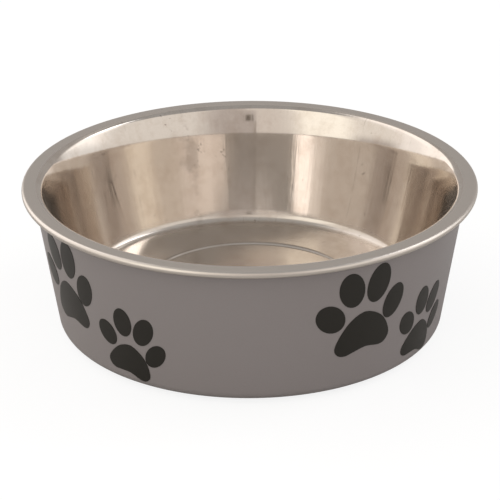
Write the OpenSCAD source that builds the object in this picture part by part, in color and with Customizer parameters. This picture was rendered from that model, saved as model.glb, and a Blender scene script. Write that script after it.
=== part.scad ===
// Stainless dog bowl: a drawn steel bowl bonded into a moulded jacket that stands on a rubber ring.
// Millimetres, Z up. The origin is on the floor, at the middle of the rubber ring's underside.
// The front of the bowl faces -Y.

/* [Steel bowl] */
// Diameter over the rolled edge of the rim
rim_d = 170; // [160:1:200]
// Depth inside, from the top of the rim down to the floor
bowl_depth = 45.1; // [42:0.1:60]
// Thickness of the steel sheet
sheet_t = 0.6; // [0.4:0.05:0.8]
// Outer radius of the rolled edge
curl_r = 1.3; // [1.1:0.05:1.6]
// How far the sheet turns round inside the rolled edge, in degrees
curl_turn = 270; // [200:10:280]
// Width of the flat flange, from the rolled edge to the mouth
flange_w = 3.6; // [3:0.1:5]
// Radius of the roll from the flange into the mouth
mouth_r = 3; // [2.4:0.1:3.2]
// Radius of the flared top of the wall, below the mouth's roll
flare_r = 42; // [38:1:45]
// How far the flare turns the wall, in degrees
flare_turn = 13; // [12:0.5:14]
// Radius of the wall's slight bow, from the flare down to the floor's fillet
wall_r = 238; // [200:2:280]
// Diameter of the flat floor
floor_d = 123.8; // [112:0.2:128]
// Radius between the wall and the floor
floor_fillet_r = 3.6; // [2:0.1:6]
// Diameter of the stamped step in the floor
step_d = 84; // [60:1:86]
// Drop of the stamped step
step_h = 0.5; // [0.3:0.1:1.2]

/* [Jacket] */
// Height from the jacket's foot up to the bowl's floor
base_h = 10.6; // [9:0.1:16]
// Width of the jacket's top edge that the flat flange rests on
top_edge_w = 0.75; // [0.5:0.05:1.2]
// Diameter at the foot, where the wall would meet the foot without its rounding
foot_d = 145.3; // [138:0.5:152]
// Thickness of the jacket's wall
wall_t = 2.2; // [1.6:0.1:2.5]
// Radius of the rounding between the wall and the foot
foot_r = 4.4; // [3:0.1:6]
// Thickness of the raised panel under the bowl's floor
panel_t = 2.2; // [1.6:0.1:3]
// Diameter of the hollow under the jacket, at its mouth
hollow_d = 97; // [90:1:104]

/* [Rubber ring] */
// Outer diameter of the rubber ring
ring_d = 128.4; // [124:0.2:132]
// Width of the rubber ring's band
ring_w = 8.8; // [7:0.1:10]
// How far the ring stands out below the jacket
ring_proud = 1.2; // [0.8:0.1:2.5]
// How deep the ring sits in the jacket
ring_seat_h = 2; // [1.4:0.1:2.6]
// Number of tread grooves in the ring's underside
tread_count = 2; // [1:1:3]

/* [Paw prints] */
// Width of the big paw print over its toes
big_paw_w = 36; // [24:0.5:40]
// Width of the small paw print over its toes
small_paw_w = 28.8; // [18:0.5:32]
// Height of the big print's pad above the jacket's foot
big_paw_h = 22.8; // [20:0.1:28]
// Height of the small print's pad above the jacket's foot
small_paw_h = 9.9; // [9:0.1:20]
// Lean of the big print to the right, in degrees
big_paw_lean = -3; // [-20:1:20]
// Lean of the small print to the right, in degrees
small_paw_lean = 13; // [-20:1:20]
// Turn of the first big print from the front, in degrees
first_paw_turn = 31.4; // [0:0.1:90]
// Turn from each big print to its small one, in degrees
paw_pair_turn = 23.1; // [21:0.1:30]
// Thickness of the printed film
print_t = 0.12; // [0.1:0.01:0.3]

/* [Hidden] */

// Clearances between the pieces
seat_gap = 0.1;
bond_gap = 0.04;
ring_gap = 0.3;
print_lift = 0.02;

// Levels, from the floor up
foot_z = ring_proud;
floor_z = foot_z + base_h;
rim_z = floor_z + bowl_depth;
seat_z = foot_z + ring_seat_h;
top_z = rim_z - sheet_t - seat_gap;
channel_t = 2.2;
channel_z = seat_z + channel_t;

// Steel bowl: centres of the rolled edge, the mouth's roll and the floor's fillet
curl_x = rim_d / 2 - curl_r;
flat_x = curl_x - flange_w;
curl_z = rim_z - curl_r;
mouth_z = rim_z - mouth_r;
fillet_x = floor_d / 2;
fillet_z = floor_z + floor_fillet_r;

// Steel bowl: distances between the centres of the mouth's roll, the wall's bow and the fillet
bow_to_roll = norm([flare_r + wall_r - (flare_r - mouth_r) * cos(flare_turn),
    (flare_r - mouth_r) * sin(flare_turn)]);
bow_to_fillet = wall_r - floor_fillet_r;
roll_to_fillet = norm([flat_x - fillet_x, mouth_z - fillet_z]);

// Steel bowl: the bow's centre, which runs the wall smoothly from the flare into the fillet
roll_corner = acos((pow(roll_to_fillet, 2) + pow(bow_to_roll, 2) - pow(bow_to_fillet, 2))
    / (2 * roll_to_fillet * bow_to_roll));
bow_dir = 180 + atan2(mouth_z - fillet_z, flat_x - fillet_x) - roll_corner;
bow_x = flat_x + bow_to_roll * cos(bow_dir);
bow_z = mouth_z + bow_to_roll * sin(bow_dir);

// Steel bowl: the wall's lean just below the flare and just above the fillet
top_lean = 180 - bow_dir + asin((flare_r - mouth_r) * sin(flare_turn) / bow_to_roll);
low_lean = atan2(bow_z - fillet_z, fillet_x - bow_x);

// Steel bowl: how far the mouth's roll turns, and the centre of the flare
mouth_turn = 90 - top_lean - flare_turn;
flare_x = flat_x + (flare_r - mouth_r) * sin(mouth_turn);
flare_z = mouth_z - (flare_r - mouth_r) * cos(mouth_turn);

// Steel bowl: the stamped step, as two equal bends
step_bend_r = 1.5;
step_turn = acos(1 - step_h / (2 * step_bend_r));
step_x = step_d / 2;
step_in_x = step_x - 2 * step_bend_r * sin(step_turn);

// Jacket: the wall's outer line, its taper and its rounding at the foot
top_x = flat_x + top_edge_w;
foot_x = foot_d / 2;
taper = atan((top_x - foot_x) / (top_z - foot_z));
round_z = foot_z + foot_r;
round_x = wall_x(round_z, foot_r);
inner_round_r = 3;
inner_round_z = channel_z + inner_round_r;

// Jacket: the raised panel and the hollow under it
panel_z = floor_z - sheet_t - seat_gap;
relief_z = panel_z - step_h - seat_gap;
relief_x = step_x + step_bend_r;
relief_slope_w = 1.2;
under_z = relief_z - panel_t;
edge_r = 1;
hollow_x = hollow_d / 2;
hollow_draft = 4;
hollow_top_x = hollow_x - (under_z - foot_z) * tan(hollow_draft);
riser_x = hollow_x + wall_t;
riser_top_x = riser_x - (panel_z - channel_z) * tan(hollow_draft);
riser_fillet_r = 1.5;

// Rubber ring: its own outline and the groove that holds it
ring_x = ring_d / 2;
ring_in_x = ring_x - ring_w;
ring_edge = 0.5;
tread_w = 1;
tread_deep = 0.6;

// Adhesive bead between the bowl's wall and the jacket, and how fast the room for it opens downwards
bead_top = 2.9;
bead_h = 5;
bead_open_share = 0.25;

// Paw print: shares of the print's width, with the middle of the pad at the origin.
// Each toe is its middle, its half length, its half width and its lean to the right in degrees.
toe_shares = [
    [-0.372, 0.266, 0.178, 0.136, -40],
    [-0.156, 0.543, 0.2, 0.138, -13],
    [0.151, 0.544, 0.216, 0.133, 14],
    [0.352, 0.266, 0.193, 0.118, 23]];
// The pad's outline, from its top round to the right
pad_shares = [[0, 0.257], [0.165, 0.187], [0.265, 0.07], [0.317, -0.085], [0.272, -0.175],
    [0.19, -0.194], [0.035, -0.16], [-0.12, -0.19], [-0.2, -0.208], [-0.28, -0.183],
    [-0.319, -0.1], [-0.265, 0.04], [-0.155, 0.185]];
toe_steps = 28;
pad_steps = 3;
print_reach = 4;
pair_count = 4;

// Fineness of the turned pieces, and of the bends in their outlines
turn_fn = 180;
bend_steps = 8;

// A round bend from angle a to angle b
function bend(x, z, r, a, b) =
    [for (i = [0:bend_steps]) let (t = a + (b - a) * i / bend_steps) [x + r * cos(t), z + r * sin(t)]];

function backwards(points) = [for (i = [len(points) - 1:-1:0]) points[i]];

// Radius of the jacket's wall at height z, at a depth below its outer face
function wall_x(z, depth) = foot_x + (z - foot_z) * tan(taper) - depth / cos(taper);

// The sheet of the bowl, from the free edge of the roll to the middle of the floor.
// A depth of 0 is the face that shows, and a depth of sheet_t is the back.
function sheet_face(depth) = concat(
    bend(curl_x, curl_z, curl_r - depth, 90 - curl_turn, 90),
    bend(flat_x, mouth_z, mouth_r - depth, 90, 90 + mouth_turn),
    bend(flare_x, flare_z, flare_r - depth, 90 + mouth_turn, 180 - top_lean),
    bend(bow_x, bow_z, wall_r + depth, -top_lean, -low_lean),
    bend(fillet_x, fillet_z, floor_fillet_r + depth, -low_lean, -90),
    bend(step_x, floor_z - step_bend_r, step_bend_r - depth, 90, 90 + step_turn),
    bend(step_in_x, floor_z - step_h + step_bend_r, step_bend_r + depth, step_turn - 90, -90),
    [[0, floor_z - step_h - depth]]);

// Radius of the flare at height z, at a depth below the face that shows
function flare_at(z, depth) = flare_x - sqrt(pow(flare_r - depth, 2) - pow(z - flare_z, 2));

// Heights on the adhesive bead, from its top down
function bead_z(i) = rim_z - bead_top - bead_h * i / bend_steps;

// Radius of the jacket's inner face beside the bead: the plain wall, cut back where the bead needs room
function bead_room_x(z) = max(wall_x(z, wall_t),
    flare_at(z, sheet_t + seat_gap + (bead_z(0) - z) * bead_open_share));

// The top of the jacket's inner face: it keeps clear of the bowl's roll, and goes down behind the bead
function jacket_lead_in() = concat(
    [for (p = bend(flat_x, mouth_z, mouth_r - sheet_t - seat_gap, 90, 90 + mouth_turn))
        [max(p[0], wall_x(p[1], wall_t)), p[1]]],
    [for (i = [0, bend_steps]) [bead_room_x(bead_z(i)), bead_z(i)]],
    [[wall_x(bead_z(bend_steps + 1), wall_t), bead_z(bend_steps + 1)]]);

// The jacket's outer face from its top down round the foot, at a height above the face
function jacket_face(lift) = concat(
    [[wall_x(top_z, -lift), top_z]],
    bend(round_x, round_z, foot_r + lift, -taper, -90));

function jacket_inner_round() =
    bend(wall_x(inner_round_z, wall_t) - inner_round_r / cos(taper), inner_round_z, inner_round_r,
        -taper, -90);

function jacket_outline() = concat(
    jacket_face(0),
    [[ring_x + ring_gap, foot_z], [ring_x + ring_gap, seat_z],
        [ring_in_x - ring_gap, seat_z], [ring_in_x - ring_gap, foot_z]],
    bend(hollow_x + edge_r, foot_z + edge_r, edge_r, 270, 180),
    bend(hollow_top_x - riser_fillet_r, under_z - riser_fillet_r, riser_fillet_r, 0, 90),
    [[0, under_z], [0, relief_z], [relief_x, relief_z], [relief_x + relief_slope_w, panel_z]],
    bend(riser_top_x - edge_r, panel_z - edge_r, edge_r, 90, 0),
    bend(riser_x + riser_fillet_r, channel_z + riser_fillet_r, riser_fillet_r, 180, 270),
    backwards(jacket_inner_round()),
    backwards(jacket_lead_in()));

function bead_outline() = concat(
    [for (i = [0:bend_steps]) [flare_at(bead_z(i), sheet_t + bond_gap), bead_z(i)]],
    [for (i = [bend_steps, 0]) [bead_room_x(bead_z(i)) - bond_gap, bead_z(i)]]);

// One tread groove in the ring's underside
function tread(i) = let (x = ring_x - ring_w * i / (tread_count + 1))
    [[x + tread_w / 2, 0], [x + tread_w / 2, tread_deep], [x - tread_w / 2, tread_deep], [x - tread_w / 2, 0]];
function ring_outline() = concat(
    [[ring_x, seat_z], [ring_x, ring_edge], [ring_x - ring_edge, 0]],
    [for (i = [1:tread_count]) for (p = tread(i)) p],
    [[ring_in_x + ring_edge, 0], [ring_in_x, ring_edge], [ring_in_x, seat_z]]);

// A smooth closed curve through points, Catmull-Rom
function curve_at(a, b, c, d, t) = 0.5 * (2 * b + (c - a) * t
    + (2 * a - 5 * b + 4 * c - d) * pow(t, 2) + (3 * b - a - 3 * c + d) * pow(t, 3));
function closed_curve(points) = let (n = len(points))
    [for (i = [0:n - 1]) for (s = [0:pad_steps - 1])
        curve_at(points[(i + n - 1) % n], points[i], points[(i + 1) % n], points[(i + 2) % n],
            s / pad_steps)];

// The drawn steel bowl: rolled edge, flat flange, flared and slightly bowed wall, floor with its step
module inner_bowl() {
    color("silver")
        rotate_extrude($fn = turn_fn)
            polygon(concat(sheet_face(0), backwards(sheet_face(sheet_t))));
}

// The moulded jacket: tapered wall, rounded foot, groove for the ring and the panel under the bowl
module outer_jacket() {
    color("dimgray")
        rotate_extrude($fn = turn_fn)
            polygon(jacket_outline());
}

// The bead of adhesive that holds the bowl in the jacket and keeps water out
module rim_adhesive() {
    color("ivory")
        rotate_extrude($fn = turn_fn)
            polygon(bead_outline());
}

// The rubber ring that pulls down out of the jacket's foot
module base_ring() {
    color("black")
        rotate_extrude($fn = turn_fn)
            polygon(ring_outline());
}

// The thin skin over the jacket that the prints are cut from
module print_skin() {
    rotate_extrude($fn = turn_fn)
        polygon(concat(jacket_face(print_lift + print_t), backwards(jacket_face(print_lift))));
}

module toe(share, paw_w) {
    translate([share[0], share[1]] * paw_w)
        rotate(-share[4])
            polygon([for (i = [0:toe_steps - 1]) let (a = 360 * i / toe_steps)
                [share[3] * paw_w * cos(a), share[2] * paw_w * sin(a)]]);
}

module paw_outline(paw_w) {
    for (share = toe_shares) toe(share, paw_w);
    polygon(closed_curve(pad_shares) * paw_w);
}

// One paw print, wrapped on the jacket's wall
module paw_print(paw_w, paw_h, lean, turn) {
    color("black")
        intersection() {
            print_skin();
            rotate([0, 0, turn])
                translate([0, 0, foot_z + paw_h])
                    rotate([90, 0, 0])
                        translate([0, 0, foot_x / 2])
                            linear_extrude(top_x + print_reach - foot_x / 2)
                                rotate(-lean)
                                    paw_outline(paw_w);
        }
}

// The prints come in pairs, a big and a small one, evenly round the jacket
function pair_turn(i) = first_paw_turn + 360 * (i - 1) / pair_count;
module big_paw(i) { paw_print(big_paw_w, big_paw_h, big_paw_lean, pair_turn(i)); }
module small_paw(i) { paw_print(small_paw_w, small_paw_h, small_paw_lean, pair_turn(i) + paw_pair_turn); }

module big_paw_print_1() { big_paw(1); }
module big_paw_print_2() { big_paw(2); }
module big_paw_print_3() { big_paw(3); }
module big_paw_print_4() { big_paw(4); }
module small_paw_print_1() { small_paw(1); }
module small_paw_print_2() { small_paw(2); }
module small_paw_print_3() { small_paw(3); }
module small_paw_print_4() { small_paw(4); }

inner_bowl();
outer_jacket();
rim_adhesive();
base_ring();
big_paw_print_1();
big_paw_print_2();
big_paw_print_3();
big_paw_print_4();
small_paw_print_1();
small_paw_print_2();
small_paw_print_3();
small_paw_print_4();
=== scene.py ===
# Stainless dog bowl: a drawn steel bowl bonded into a satin grey jacket with paw prints, on a rubber ring.
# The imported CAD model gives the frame, in metres. The front of the bowl faces -Y, and +Z is up.
import math
import bmesh
import bpy
from mathutils import Matrix, Vector


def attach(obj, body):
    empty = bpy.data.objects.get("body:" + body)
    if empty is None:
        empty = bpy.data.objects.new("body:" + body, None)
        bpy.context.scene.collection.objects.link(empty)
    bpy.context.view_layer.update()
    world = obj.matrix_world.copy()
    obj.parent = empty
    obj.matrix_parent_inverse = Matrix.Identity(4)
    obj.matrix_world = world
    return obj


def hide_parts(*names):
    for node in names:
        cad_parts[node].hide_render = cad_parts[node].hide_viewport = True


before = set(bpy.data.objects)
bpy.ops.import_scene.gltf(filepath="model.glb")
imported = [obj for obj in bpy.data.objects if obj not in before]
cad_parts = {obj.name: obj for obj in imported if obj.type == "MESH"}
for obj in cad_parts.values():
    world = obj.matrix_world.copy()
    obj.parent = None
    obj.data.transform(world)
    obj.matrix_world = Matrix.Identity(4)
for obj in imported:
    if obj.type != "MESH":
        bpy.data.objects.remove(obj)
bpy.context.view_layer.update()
mm = 0.001


# ---------------------------------------------------------------------------------------------------------
# The camera: a long lens at the front, 0.75 m from the rim, which looks 24 degrees down at a point inside
# the bowl.
rim_top = 56.9 * mm
view_back, view_above_rim = 692.85 * mm, 281.89 * mm
view_down, view_roll = 0.42263, -0.006  # in radians

lens_data = bpy.data.cameras.new("long_lens")
lens_data.sensor_width = 36
lens_data.lens = 143.87
lens_data.clip_start = 10 * mm
camera = bpy.data.objects.new("camera", lens_data)
bpy.context.scene.collection.objects.link(camera)
looking = Vector((0, math.cos(view_down), -math.sin(view_down)))
level_up = Vector((0, math.sin(view_down), math.cos(view_down)))
to_right = Vector((1, 0, 0)) * math.cos(view_roll) + level_up * math.sin(view_roll)
up = level_up * math.cos(view_roll) - Vector((1, 0, 0)) * math.sin(view_roll)
view_place = Matrix.Translation((0, -view_back, rim_top + view_above_rim))
camera.matrix_world = view_place @ Matrix((to_right, up, -looking)).transposed().to_4x4()
bpy.context.scene.camera = camera
bpy.context.scene.view_settings.view_transform = "Standard"


# ---------------------------------------------------------------------------------------------------------
# The studio: a white tent of soft light under a grey ceiling, with soft panels, and the dark camera on its
# stand. The steel mirrors them all. Each is a patch of directions with soft edges. Only camera rays see plain
# white in place of the tent.
def linear(colour):
    """The linear colour of an sRGB hex value."""
    parts = [int(colour[i:i + 2], 16) / 255 for i in (1, 3, 5)]
    return [c / 12.92 if c <= 0.04045 else ((c + 0.055) / 1.055) ** 2.4 for c in parts] + [1.0]


def add(tree, kind, links=(), **settings):
    """Adds a shader node: settings on its properties, and links as (socket, value or another node's output).

    A Map Range reads the range in sockets 1 and 2 and gives the one in 3 and 4. A colour Mix has its share in
    socket 0, its two colours in 6 and 7, and its result in output 2.
    """
    node = tree.nodes.new(kind)
    for name, value in settings.items():
        setattr(node, name, value)
    for socket, value in links:
        if isinstance(value, bpy.types.NodeSocket):
            tree.links.new(value, node.inputs[socket])
        else:
            node.inputs[socket].default_value = value
    return node


# Name, azimuth of its middle from the front to the right, half width, soft edge at the sides, lowest and
# highest elevation, soft edge below and above (all in degrees), brightness and tint
studio_panels = [
    ("tent_wall", 0, 200, 5, -90, 48, 3, 1.06, "#FFFEFD"),
    ("left_wall", -77, 78, 16, -90, 59, 2, 1.10, "#FFFAF3"),
    ("left_low", -90, 32, 12, -90, 7, 5, 0.55, "#FFF5EF"),
    ("back_wall", 170, 42, 7, -90, 50, 14, 0.45, "#FFFBF8"),
    ("right_glow", 105, 17, 8, 9, 47, 5, 1.66, "#FFFEFD"),
    ("right_panel", 112.5, 9, 4, 36, 56, 6, 3.60, "#FAFCFF"),
    ("left_panel", -128, 20.5, 2, -90, 62, 9, 1.64, "#FFFBF8"),
    ("left_near", -104, 10, 8, -90, 58, 9, 1.32, "#FFFBF8"),
    ("front_right", 50, 40, 12, -90, 51, 4, 1.01, "#FFFBF6"),
    ("front_left", -45, 17, 8, -90, 58, 2, 1.52, "#FFFCF3"),
    ("front_dim", -9, 15, 11, -90, 57, 3, 0.90, "#FFF7F0"),
    ("front_middle", 14, 11, 11, -90, 57, 4, 0.62, "#FFF5EF"),
    ("front_screen", 3, 6.5, 1.2, -90, 30, 5, 0.62, "#FFF5EF"),
    ("camera", 0.4, 2.1, 0.8, 17.5, 24.5, 1.2, 0.18, "#FFEEDD"),
    ("camera_stand", -3, 0.6, 0.5, -90, 17, 1.5, 0.34, "#FFEEDD"),
]
world = bpy.data.worlds.new("studio_tent")
world.use_nodes = True
sky = world.node_tree
sky.nodes.clear()
direction = add(sky, "ShaderNodeTexCoord")
sky_axes = add(sky, "ShaderNodeSeparateXYZ", [(0, direction.outputs["Generated"])])
height = add(sky, "ShaderNodeMath", [(0, sky_axes.outputs["Z"])], operation="ARCSINE")
elevation = add(sky, "ShaderNodeMath", [(0, height.outputs[0])], operation="DEGREES")
forward = add(sky, "ShaderNodeMath", [(0, sky_axes.outputs["Y"]), (1, -1.0)], operation="MULTIPLY")
around = add(sky, "ShaderNodeMath", [(0, sky_axes.outputs["X"]), (1, forward.outputs[0])],
             operation="ARCTAN2")
azimuth = add(sky, "ShaderNodeMath", [(0, around.outputs[0])], operation="DEGREES")
ceiling = 0.42
light = (ceiling, ceiling, ceiling, 1.0)
for name, middle, half, edge, low, high, fade, level, tint in studio_panels:
    # The angle from the panel's middle, wrapped to -180 to 180
    turn = add(sky, "ShaderNodeMath", [(0, azimuth.outputs[0]), (1, middle)], operation="SUBTRACT")
    wrapped = add(sky, "ShaderNodeMath", [(0, turn.outputs[0]), (1, 180.0), (2, -180.0)], operation="WRAP")
    side = add(sky, "ShaderNodeMath", [(0, wrapped.outputs[0])], operation="ABSOLUTE")
    across = add(sky, "ShaderNodeMapRange", [(0, side.outputs[0]), (1, half + edge), (2, half - edge),
                                             (3, 0.0), (4, 1.0)], interpolation_type="SMOOTHSTEP")
    above = add(sky, "ShaderNodeMapRange", [(0, elevation.outputs[0]), (1, low - fade), (2, low + fade),
                                            (3, 0.0), (4, 1.0)], interpolation_type="SMOOTHSTEP")
    below = add(sky, "ShaderNodeMapRange", [(0, elevation.outputs[0]), (1, high + fade), (2, high - fade),
                                            (3, 0.0), (4, 1.0)], interpolation_type="SMOOTHSTEP")
    between = add(sky, "ShaderNodeMath", [(0, above.outputs[0]), (1, below.outputs[0])], operation="MULTIPLY")
    patch = add(sky, "ShaderNodeMath", [(0, between.outputs[0]), (1, across.outputs[0])],
                operation="MULTIPLY", label=name)
    glow = [level * c for c in linear(tint)[:3]] + [1.0]
    light = add(sky, "ShaderNodeMix", [(0, patch.outputs[0]), (6, light), (7, glow)],
                data_type="RGBA").outputs[2]
tent = add(sky, "ShaderNodeBackground", [("Color", light), ("Strength", 1.0)])
white = add(sky, "ShaderNodeBackground", [("Color", (1, 1, 1, 1)), ("Strength", 1.0)])
sky_ray = add(sky, "ShaderNodeLightPath")
seen = add(sky, "ShaderNodeMixShader", [(0, sky_ray.outputs["Is Camera Ray"]), (1, tent.outputs[0]),
                                        (2, white.outputs[0])])
add(sky, "ShaderNodeOutputWorld", [(0, seen.outputs[0])])
bpy.context.scene.world = world

# The floor: a plain sheet of pale paper that runs out of view. Camera rays see it mostly by its own white, so
# that only the bowl's soft shadow is left on it, and all other rays see plain light grey paper.
floor_mesh = bmesh.new()
bmesh.ops.create_circle(floor_mesh, cap_ends=True, segments=96, radius=3000 * mm)
floor_data = bpy.data.meshes.new("pale_floor")
floor_mesh.to_mesh(floor_data)
floor_mesh.free()
floor = bpy.data.objects.new("pale_floor", floor_data)
bpy.context.scene.collection.objects.link(floor)
floor_paper = bpy.data.materials.new("pale_paper")
floor_paper.use_nodes = True
paper = floor_paper.node_tree
paper.nodes.clear()
lit = add(paper, "ShaderNodeBsdfDiffuse", [("Color", (0.2, 0.2, 0.2, 1))])
own = add(paper, "ShaderNodeEmission", [("Color", (1, 1, 1, 1)), ("Strength", 0.85)])
both = add(paper, "ShaderNodeAddShader", [(0, lit.outputs[0]), (1, own.outputs[0])])
plain = add(paper, "ShaderNodeBsdfDiffuse", [("Color", (0.62, 0.61, 0.60, 1))])
paper_ray = add(paper, "ShaderNodeLightPath")
pick = add(paper, "ShaderNodeMixShader", [(0, paper_ray.outputs["Is Camera Ray"]), (1, plain.outputs[0]),
                                          (2, both.outputs[0])])
add(paper, "ShaderNodeOutputMaterial", [(0, pick.outputs[0])])
floor_data.materials.append(floor_paper)


# ---------------------------------------------------------------------------------------------------------
# The jacket: one moulded shell in satin warm grey, open at the top, with a tapered wall and a rounded foot.
# The steel flange rests on its top edge, and a groove in its foot takes the rubber ring.
turn_steps = 192  # facets round the whole turn


def bend(x, z, r, a, b, steps):
    """Points on a round bend about (x, z) with radius r, in mm, from angle a to angle b, in degrees."""
    return [(x + r * math.cos(math.radians(a + (b - a) * i / steps)),
             z + r * math.sin(math.radians(a + (b - a) * i / steps))) for i in range(steps + 1)]


def turned(name, outline):
    """A piece turned round the Z axis from a closed outline of (radius, height) in mm."""
    shape = bmesh.new()
    points = [shape.verts.new((x * mm, 0, z * mm)) for x, z in outline]
    edges = [shape.edges.new(ends) for ends in zip(points, points[1:] + points[:1])]
    bmesh.ops.spin(shape, geom=points + edges, cent=(0, 0, 0), axis=(0, 0, 1), dvec=(0, 0, 0),
                   angle=math.tau, steps=turn_steps, use_merge=True, use_normal_flip=False,
                   use_duplicate=False)
    bmesh.ops.remove_doubles(shape, verts=shape.verts, dist=0.0005 * mm)
    bmesh.ops.recalc_face_normals(shape, faces=shape.faces)
    data = bpy.data.meshes.new(name)
    shape.to_mesh(data)
    shape.free()
    data.shade_smooth()
    data.set_sharp_from_angle(angle=math.radians(35))
    piece = bpy.data.objects.new(name, data)
    bpy.context.scene.collection.objects.link(piece)
    return piece


# Sizes in mm: x is a radius from the bowl's axis, z a height over the floor, r a bend and t a thickness
foot_z, jacket_top_z = 1.2, 56.2
jacket_foot_x, jacket_top_x, jacket_t = 72.65, 80.85, 2.2
jacket_taper = math.atan((jacket_top_x - jacket_foot_x) / (jacket_top_z - foot_z))


def wall_x(z, depth):
    """Radius of the jacket's wall at height z, at a depth below its outer face, in mm."""
    return jacket_foot_x + (z - foot_z) * math.tan(jacket_taper) - depth / math.cos(jacket_taper)


slope = math.degrees(jacket_taper)
foot_r = 4.4
round_z = foot_z + foot_r
round_x = wall_x(round_z, foot_r)
# Under the foot: the groove for the rubber ring, then the hollow under the raised panel
groove_out_x, groove_in_x, groove_top_z = 64.5, 55.1, 3.2
edge_r, hollow_edge_x = 1, 49.5
hollow_top_x, hollow_top_z, hollow_r = 48.004, 8.3, 1.5
# Inside: the panel under the bowl's floor with a relief for its step, the channel round it, and the wall
relief_x, relief_z, panel_in_x, panel_z = 43.5, 10.5, 44.7, 11.1
panel_out_x, channel_in_x, channel_z, channel_r = 49.3, 52.2, 5.4, 1.5
inner_round_r = 3
inner_round_z = channel_z + inner_round_r
inner_round_x = wall_x(inner_round_z, jacket_t) - inner_round_r / math.cos(jacket_taper)
# The top edge leans in along the roll of the bowl's mouth
seat_low_z, seat_x, seat_z, seat_top_x = 54.9, 79.2, 55.9, 80.1
jacket_outline = (
    [(wall_x(jacket_top_z, 0), jacket_top_z)]
    + bend(round_x, round_z, foot_r, -slope, -90, 16)
    + [(groove_out_x, foot_z), (groove_out_x, groove_top_z)]
    + [(groove_in_x, groove_top_z), (groove_in_x, foot_z)]
    + bend(hollow_edge_x, foot_z + edge_r, edge_r, 270, 180, 8)
    + bend(hollow_top_x - hollow_r, hollow_top_z - hollow_r, hollow_r, 0, 90, 8)
    + [(0, hollow_top_z), (0, relief_z), (relief_x, relief_z), (panel_in_x, panel_z)]
    + bend(panel_out_x, panel_z - edge_r, edge_r, 90, 0, 8)
    + bend(channel_in_x, channel_z + channel_r, channel_r, 180, 270, 8)
    + bend(inner_round_x, inner_round_z, inner_round_r, -90, -slope, 12)
    + [(wall_x(seat_low_z, jacket_t), seat_low_z), (seat_x, seat_z), (seat_top_x, jacket_top_z)])
outer_jacket = turned("moulded_jacket", jacket_outline)

# Moulded ABS, spray finished in satin grey: an even colour with a very fine mist grain and a soft sheen. The
# mist is drawn coarser than a real spray's, so that it shows.
mist_size, cloud_size = 0.38462 * mm, 22.222 * mm
satin_grey = bpy.data.materials.new("satin_grey_abs")
satin_grey.use_nodes = True
coat = satin_grey.node_tree
coat.nodes.clear()
place = add(coat, "ShaderNodeTexCoord")
mist = add(coat, "ShaderNodeTexNoise", [("Vector", place.outputs["Object"]), ("Scale", 1 / mist_size),
                                        ("Detail", 3.0), ("Roughness", 0.6)])
cloud = add(coat, "ShaderNodeTexNoise", [("Vector", place.outputs["Object"]), ("Scale", 1 / cloud_size),
                                         ("Detail", 2.0)])
tone = add(coat, "ShaderNodeMix", [(0, cloud.outputs["Fac"]), (6, linear("#918B8B")), (7, linear("#958F90"))],
           data_type="RGBA")
fleck = add(coat, "ShaderNodeMix", [(0, mist.outputs["Fac"]), (6, linear("#8C8686")), (7, tone.outputs[2])],
            data_type="RGBA")
grain = add(coat, "ShaderNodeBump", [("Strength", 0.12), ("Distance", 0.02 * mm),
                                     ("Height", mist.outputs["Fac"])])
satin = add(coat, "ShaderNodeBsdfPrincipled", [("Base Color", fleck.outputs[2]), ("Roughness", 0.4),
                                               ("IOR", 1.5), ("Normal", grain.outputs[0])])
add(coat, "ShaderNodeOutputMaterial", [(0, satin.outputs[0])])
outer_jacket.data.materials.append(satin_grey)
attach(outer_jacket, "bowl")
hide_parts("outer_jacket")


# ---------------------------------------------------------------------------------------------------------
# The steel bowl: drawn from one 0.6 mm sheet, with a rolled edge, a flat flange, a wall that flares at the
# top and bows slightly below, a floor with a stamped round step, and a bright satin finish inside.
sheet_t, floor_z = 0.6, 11.8
curl_r, mouth_r, flare_r, wall_r, fillet_r = 1.3, 3.0, 42.0, 238.0, 3.6
flare_turn = math.radians(13)
curl_x, flat_x, curl_z, mouth_z = 83.7, 80.1, 55.6, 53.9
fillet_x, fillet_z = 61.9, 15.4
# The wall's bow runs smoothly from the flare into the fillet: its centre lies at known distances from the
# centres of the mouth's roll and of the fillet
bow_to_roll = math.hypot(flare_r + wall_r - (flare_r - mouth_r) * math.cos(flare_turn),
                         (flare_r - mouth_r) * math.sin(flare_turn))
roll_to_fillet = math.hypot(flat_x - fillet_x, mouth_z - fillet_z)
roll_corner = math.acos((roll_to_fillet ** 2 + bow_to_roll ** 2 - (wall_r - fillet_r) ** 2)
                        / (2 * roll_to_fillet * bow_to_roll))
bow_dir = math.pi + math.atan2(mouth_z - fillet_z, flat_x - fillet_x) - roll_corner
bow_x = flat_x + bow_to_roll * math.cos(bow_dir)
bow_z = mouth_z + bow_to_roll * math.sin(bow_dir)
top_lean = math.pi - bow_dir + math.asin((flare_r - mouth_r) * math.sin(flare_turn) / bow_to_roll)
low_lean = math.atan2(bow_z - fillet_z, fillet_x - bow_x)
mouth_lean = top_lean + flare_turn
flare_x = flat_x + (flare_r - mouth_r) * math.cos(mouth_lean)
flare_z = mouth_z - (flare_r - mouth_r) * math.sin(mouth_lean)
mouth_end = 180 - math.degrees(mouth_lean)
flare_end, wall_end = math.degrees(top_lean), math.degrees(low_lean)
# The stamped step: two bends, gentler than the CAD's, because the real one's lines are soft
step_x, step_out_r, step_in_r, step_h = 42.9, 5.0, 3.5, 0.5
step_turn = math.degrees(math.acos(1 - step_h / (step_out_r + step_in_r)))
step_in_x = step_x - (step_out_r + step_in_r) * math.sin(math.radians(step_turn))


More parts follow.
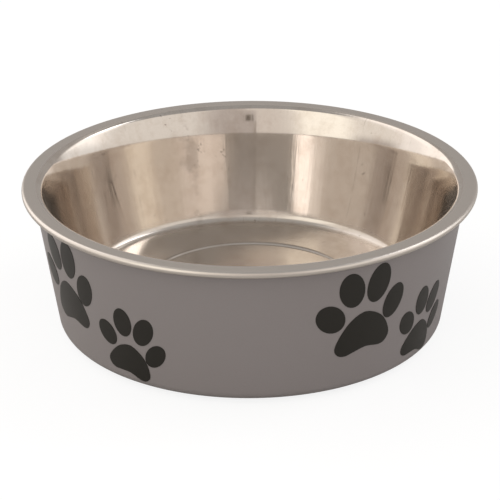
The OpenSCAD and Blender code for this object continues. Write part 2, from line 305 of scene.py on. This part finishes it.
def sheet_face(depth):
    """The bowl's sheet at a depth below its inner face, from the rolled edge to the middle of the floor."""
    return (bend(curl_x, curl_z, curl_r - depth, -180, 90, 40)
            + bend(flat_x, mouth_z, mouth_r - depth, 90, mouth_end, 24)
            + bend(flare_x, flare_z, flare_r - depth, mouth_end, 180 - flare_end, 16)
            + bend(bow_x, bow_z, wall_r + depth, -flare_end, -wall_end, 16)
            + bend(fillet_x, fillet_z, fillet_r + depth, -wall_end, -90, 20)
            + bend(step_x, floor_z - step_out_r, step_out_r - depth, 90, 90 + step_turn, 12)
            + bend(step_in_x, floor_z - step_h + step_in_r, step_in_r + depth, step_turn - 90, -90, 8)
            + [(0, floor_z - step_h - depth)])


steel_bowl = turned("drawn_steel_bowl", sheet_face(0) + sheet_face(sheet_t)[::-1])

# Drawn stainless steel: the wall is polished to a near mirror with a slight haze, the floor is a little
# duller and the flange is satin. The polishing belt leaves fine marks round the axis, drawing faint upright
# ones. The belt's marks are drawn coarser than its grit, so that they show.
belt_pitch, draw_length = 0.41667 * mm, 38.462 * mm
smudge_size, mottle_size, pit_size = 13.333 * mm, 7.6923 * mm, 1.6129 * mm
steel = bpy.data.materials.new("polished_drawn_stainless_steel")
steel.use_nodes = True
metal = steel.node_tree
metal.nodes.clear()
place = add(metal, "ShaderNodeTexCoord")
axes = add(metal, "ShaderNodeSeparateXYZ", [(0, place.outputs["Object"])])
square_x = add(metal, "ShaderNodeMath", [(0, axes.outputs["X"]), (1, axes.outputs["X"])],
               operation="MULTIPLY")
square_r = add(metal, "ShaderNodeMath", [(0, axes.outputs["Y"]), (1, axes.outputs["Y"]),
                                         (2, square_x.outputs[0])], operation="MULTIPLY_ADD")
radius = add(metal, "ShaderNodeMath", [(0, square_r.outputs[0])], operation="SQRT")
angle = add(metal, "ShaderNodeMath", [(0, axes.outputs["Y"]), (1, axes.outputs["X"])], operation="ARCTAN2")
# Marks round the axis: fine in radius and height, long round the turn
ringed = add(metal, "ShaderNodeCombineXYZ", [(0, radius.outputs[0]), (1, axes.outputs["Z"])])
belt = add(metal, "ShaderNodeTexNoise", [("Vector", ringed.outputs[0]), ("Scale", 1 / belt_pitch),
                                         ("Detail", 2.0)])
marks = add(metal, "ShaderNodeBump", [("Strength", 0.06), ("Distance", 0.01 * mm),
                                      ("Height", belt.outputs["Fac"])])
# Upright draw marks: about two degrees apart, long down the wall, and wandering a little with the height
drawn = add(metal, "ShaderNodeCombineXYZ", [(0, angle.outputs[0]), (1, axes.outputs["Z"])])
draw = add(metal, "ShaderNodeTexNoise", [("Vector", drawn.outputs[0]), ("Scale", 1 / draw_length),
                                         ("Detail", 3.0), ("Roughness", 0.65)])
pull = add(metal, "ShaderNodeBump", [("Strength", 0.13), ("Distance", 0.2 * mm),
                                     ("Height", draw.outputs["Fac"]), ("Normal", marks.outputs[0])])
# Handling leaves wide smudges that spread the reflections a little more
smudge = add(metal, "ShaderNodeTexNoise", [("Vector", place.outputs["Object"]), ("Scale", 1 / smudge_size),
                                           ("Detail", 4.0), ("Roughness", 0.6)])
smear = add(metal, "ShaderNodeMapRange", [(0, smudge.outputs["Fac"]), (1, 0.35), (2, 0.70),
                                          (3, -0.02), (4, 0.09)])
# The zones of the finish, by radius: the dull floor inside the fillet, and the flat flange outside the mouth
dull_from, dull_full = 62.5 * mm, 61.0 * mm
flat_from, flat_full = 79.2 * mm, 79.8 * mm
dull = add(metal, "ShaderNodeMapRange", [(0, radius.outputs[0]), (1, dull_from), (2, dull_full),
                                         (3, 0.0), (4, 1.0)])
flat = add(metal, "ShaderNodeMapRange", [(0, radius.outputs[0]), (1, flat_from), (2, flat_full),
                                         (3, 0.0), (4, 1.0)])
on_wall = add(metal, "ShaderNodeMath", [(0, 1.0), (1, dull.outputs[0])], operation="SUBTRACT")
off_flange = add(metal, "ShaderNodeMath", [(0, on_wall.outputs[0]), (1, flat.outputs[0])],
                 operation="SUBTRACT", use_clamp=True)
# A few scored draw lines run down the wall: thin dark lines, broken with the height
scores_a_radian, scores_a_metre = 2.1, 4.0
score_place = add(metal, "ShaderNodeVectorMath",
                  [(0, drawn.outputs[0]), (1, (scores_a_radian, scores_a_metre, 0))], operation="MULTIPLY")
score_noise = add(metal, "ShaderNodeTexNoise", [("Vector", score_place.outputs[0]), ("Scale", 1.0),
                                                ("Detail", 1.0)])
off_line = add(metal, "ShaderNodeMath", [(0, score_noise.outputs["Fac"]), (1, 0.5)], operation="SUBTRACT")
near_line = add(metal, "ShaderNodeMath", [(0, off_line.outputs[0])], operation="ABSOLUTE")
line = add(metal, "ShaderNodeMapRange", [(0, near_line.outputs[0]), (1, 0.0045), (2, 0.0015),
                                         (3, 0.0), (4, 1.0)])
broken = add(metal, "ShaderNodeMapRange", [(0, smudge.outputs["Fac"]), (1, 0.50), (2, 0.60),
                                           (3, 0.0), (4, 0.30)])
scored = add(metal, "ShaderNodeMath", [(0, line.outputs[0]), (1, broken.outputs[0])], operation="MULTIPLY")
score = add(metal, "ShaderNodeMath", [(0, scored.outputs[0]), (1, off_flange.outputs[0])],
            operation="MULTIPLY")
# Small pits, in patches
pit_noise = add(metal, "ShaderNodeTexNoise", [("Vector", place.outputs["Object"]), ("Scale", 1 / pit_size),
                                              ("Detail", 1.0)])
pit = add(metal, "ShaderNodeMapRange", [(0, pit_noise.outputs["Fac"]), (1, 0.67), (2, 0.74),
                                        (3, 0.0), (4, 1.0)])
patchy = add(metal, "ShaderNodeMapRange", [(0, smudge.outputs["Fac"]), (1, 0.56), (2, 0.64),
                                           (3, 0.0), (4, 0.5)])
pitted = add(metal, "ShaderNodeMath", [(0, pit.outputs[0]), (1, patchy.outputs[0])], operation="MULTIPLY")
worn = add(metal, "ShaderNodeMath", [(0, score.outputs[0]), (1, pitted.outputs[0])], operation="ADD")
# The floor inside the fillet keeps the duller face of the sheet, and the flange is satin
floor_polish = add(metal, "ShaderNodeMapRange", [(0, dull.outputs[0]), (3, 0.08), (4, 0.11)])
polish = add(metal, "ShaderNodeMapRange", [(0, flat.outputs[0]), (3, floor_polish.outputs[0]), (4, 0.32)])
# Washing leaves a faint brown mottling
mottle = add(metal, "ShaderNodeTexNoise", [("Vector", place.outputs["Object"]), ("Scale", 1 / mottle_size),
                                           ("Detail", 5.0), ("Roughness", 0.7)])
stain = add(metal, "ShaderNodeMapRange", [(0, mottle.outputs["Fac"]), (1, 0.46), (2, 0.68),
                                          (3, 0.0), (4, 0.65)])
stained = add(metal, "ShaderNodeMix", [(0, stain.outputs[0]), (6, linear("#D6CDC4")), (7, linear("#C7BBB0"))],
              data_type="RGBA")
wall_tone = add(metal, "ShaderNodeMix", [(0, worn.outputs[0]), (6, stained.outputs[2]),
                                         (7, linear("#6E625A"))], data_type="RGBA")
steel_tone = add(metal, "ShaderNodeMix", [(0, flat.outputs[0]), (6, wall_tone.outputs[2]),
                                          (7, linear("#D6CEC6"))], data_type="RGBA").outputs[2]
mirror = add(metal, "ShaderNodeBsdfPrincipled",
             [("Base Color", steel_tone), ("Metallic", 1.0), ("Roughness", polish.outputs[0]),
              ("Normal", pull.outputs[0])])
haze = add(metal, "ShaderNodeBsdfPrincipled",
           [("Base Color", steel_tone), ("Metallic", 1.0), ("Roughness", 0.45), ("Normal", pull.outputs[0])])
haze_share = add(metal, "ShaderNodeMapRange", [(0, dull.outputs[0]), (3, 0.07), (4, 0.14)])
# The belt doesn't reach well into the fillet, so that stays hazier and shows as a wide pale line
hazy_from, hazy_in, hazy_out, hazy_to = 61.2 * mm, 62.2 * mm, 64.8 * mm, 66.0 * mm
past_floor = add(metal, "ShaderNodeMapRange", [(0, radius.outputs[0]), (1, hazy_from), (2, hazy_in),
                                               (3, 0.0), (4, 0.38)])
below_wall = add(metal, "ShaderNodeMapRange", [(0, radius.outputs[0]), (1, hazy_to), (2, hazy_out),
                                               (3, 0.0), (4, 1.0)])
in_fillet = add(metal, "ShaderNodeMath", [(0, past_floor.outputs[0]), (1, below_wall.outputs[0]),
                                          (2, haze_share.outputs[0])], operation="MULTIPLY_ADD")
hazy = add(metal, "ShaderNodeMath", [(0, in_fillet.outputs[0]), (1, smear.outputs[0])], operation="ADD",
           use_clamp=True)
shine = add(metal, "ShaderNodeMixShader", [(0, hazy.outputs[0]), (1, mirror.outputs[0]),
                                           (2, haze.outputs[0])])
add(metal, "ShaderNodeOutputMaterial", [(0, shine.outputs[0])])
steel_bowl.data.materials.append(steel)
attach(steel_bowl, "bowl")
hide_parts("inner_bowl")


# ---------------------------------------------------------------------------------------------------------
# The adhesive: a bead of cured sealant between the steel and the jacket, just under the flange. It's hidden,
# so the CAD solid stays and gets its finish: silicone, milky and slightly uneven.
swirl_size = 4.5455 * mm
sealant = bpy.data.materials.new("cured_silicone_sealant")
sealant.use_nodes = True
gum = sealant.node_tree
gum.nodes.clear()
place = add(gum, "ShaderNodeTexCoord")
swirl = add(gum, "ShaderNodeTexNoise", [("Vector", place.outputs["Object"]), ("Scale", 1 / swirl_size),
                                        ("Detail", 3.0)])
milky = add(gum, "ShaderNodeMix", [(0, swirl.outputs["Fac"]), (6, linear("#E6E2D6")), (7, linear("#D8D3C4"))],
            data_type="RGBA")
skin = add(gum, "ShaderNodeBump", [("Strength", 0.3), ("Distance", 0.1 * mm),
                                   ("Height", swirl.outputs["Fac"])])
soft = add(gum, "ShaderNodeBsdfPrincipled", [("Base Color", milky.outputs[2]), ("Roughness", 0.35),
                                             ("IOR", 1.41), ("Normal", skin.outputs[0])])
add(gum, "ShaderNodeOutputMaterial", [(0, soft.outputs[0])])
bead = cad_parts["rim_adhesive"]
bead.data.materials.clear()
bead.data.materials.append(sealant)


# ---------------------------------------------------------------------------------------------------------
# The rubber ring: moulded, with two tread grooves round its underside, stretched into the jacket's groove.
# It stays on the floor while the bowl lifts off it.
ring_x, ring_w, ring_h = 64.2, 8.8, 3.2
ring_in_x = ring_x - ring_w
ring_edge, ring_edge_cut = 0.5, 0.15
tread_half_w, tread_deep = 0.5, 0.6


def tread(x):
    """The outline of one tread groove about radius x, in mm."""
    return [(x + tread_half_w, 0), (x + tread_half_w, tread_deep),
            (x - tread_half_w, tread_deep), (x - tread_half_w, 0)]


rubber_ring = turned("rubber_ring", (
    [(ring_x, ring_h), (ring_x, ring_edge), (ring_x - ring_edge_cut, ring_edge_cut), (ring_x - ring_edge, 0)]
    + tread(ring_x - ring_w / 3) + tread(ring_x - ring_w * 2 / 3)
    + [(ring_in_x + ring_edge, 0), (ring_in_x + ring_edge_cut, ring_edge_cut)]
    + [(ring_in_x, ring_edge), (ring_in_x, ring_h)]))

# Moulded black rubber: matt, with a fine bloom and a slight grain, drawn coarser than a real mould's.
bloom_size = 1.1111 * mm
rubber = bpy.data.materials.new("matt_moulded_rubber")
rubber.use_nodes = True
ring = rubber.node_tree
ring.nodes.clear()
place = add(ring, "ShaderNodeTexCoord")
bloom = add(ring, "ShaderNodeTexNoise", [("Vector", place.outputs["Object"]), ("Scale", 1 / bloom_size),
                                         ("Detail", 4.0)])
black = add(ring, "ShaderNodeMix", [(0, bloom.outputs["Fac"]), (6, linear("#1B1B1B")),
                                    (7, linear("#2A2928"))], data_type="RGBA")
rubber_grain = add(ring, "ShaderNodeBump", [("Strength", 0.3), ("Distance", 0.05 * mm),
                                            ("Height", bloom.outputs["Fac"])])
matt = add(ring, "ShaderNodeBsdfPrincipled", [("Base Color", black.outputs[2]), ("Roughness", 0.8),
                                              ("IOR", 1.52), ("Normal", rubber_grain.outputs[0])])
add(ring, "ShaderNodeOutputMaterial", [(0, matt.outputs[0])])
rubber_ring.data.materials.append(rubber)
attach(rubber_ring, "ring")
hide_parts("base_ring")


# ---------------------------------------------------------------------------------------------------------
# The paw prints: screen-printed black ink in four pairs round the jacket, a big and a small one in each.
# The CAD films lie on the jacket's taper and stay; they get the ink's finish, a soft black with the faint
# marks of the screen, drawn coarser than a real screen's mesh so that they show.
screen_pitch = 0.71429 * mm
ink = bpy.data.materials.new("black_screen_ink")
ink.use_nodes = True
print_tree = ink.node_tree
print_tree.nodes.clear()
place = add(print_tree, "ShaderNodeTexCoord")
screen_marks = add(print_tree, "ShaderNodeTexNoise", [("Vector", place.outputs["Object"]),
                                                      ("Scale", 1 / screen_pitch), ("Detail", 3.0)])
inky = add(print_tree, "ShaderNodeMix", [(0, screen_marks.outputs["Fac"]), (6, linear("#120E04")),
                                         (7, linear("#18140A"))], data_type="RGBA")
film = add(print_tree, "ShaderNodeBsdfPrincipled", [("Base Color", inky.outputs[2]), ("Roughness", 0.34),
                                                    ("IOR", 1.5)])
add(print_tree, "ShaderNodeOutputMaterial", [(0, film.outputs[0])])
for name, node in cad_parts.items():
    if "paw_print" in name:
        node.data.materials.clear()
        node.data.materials.append(ink)
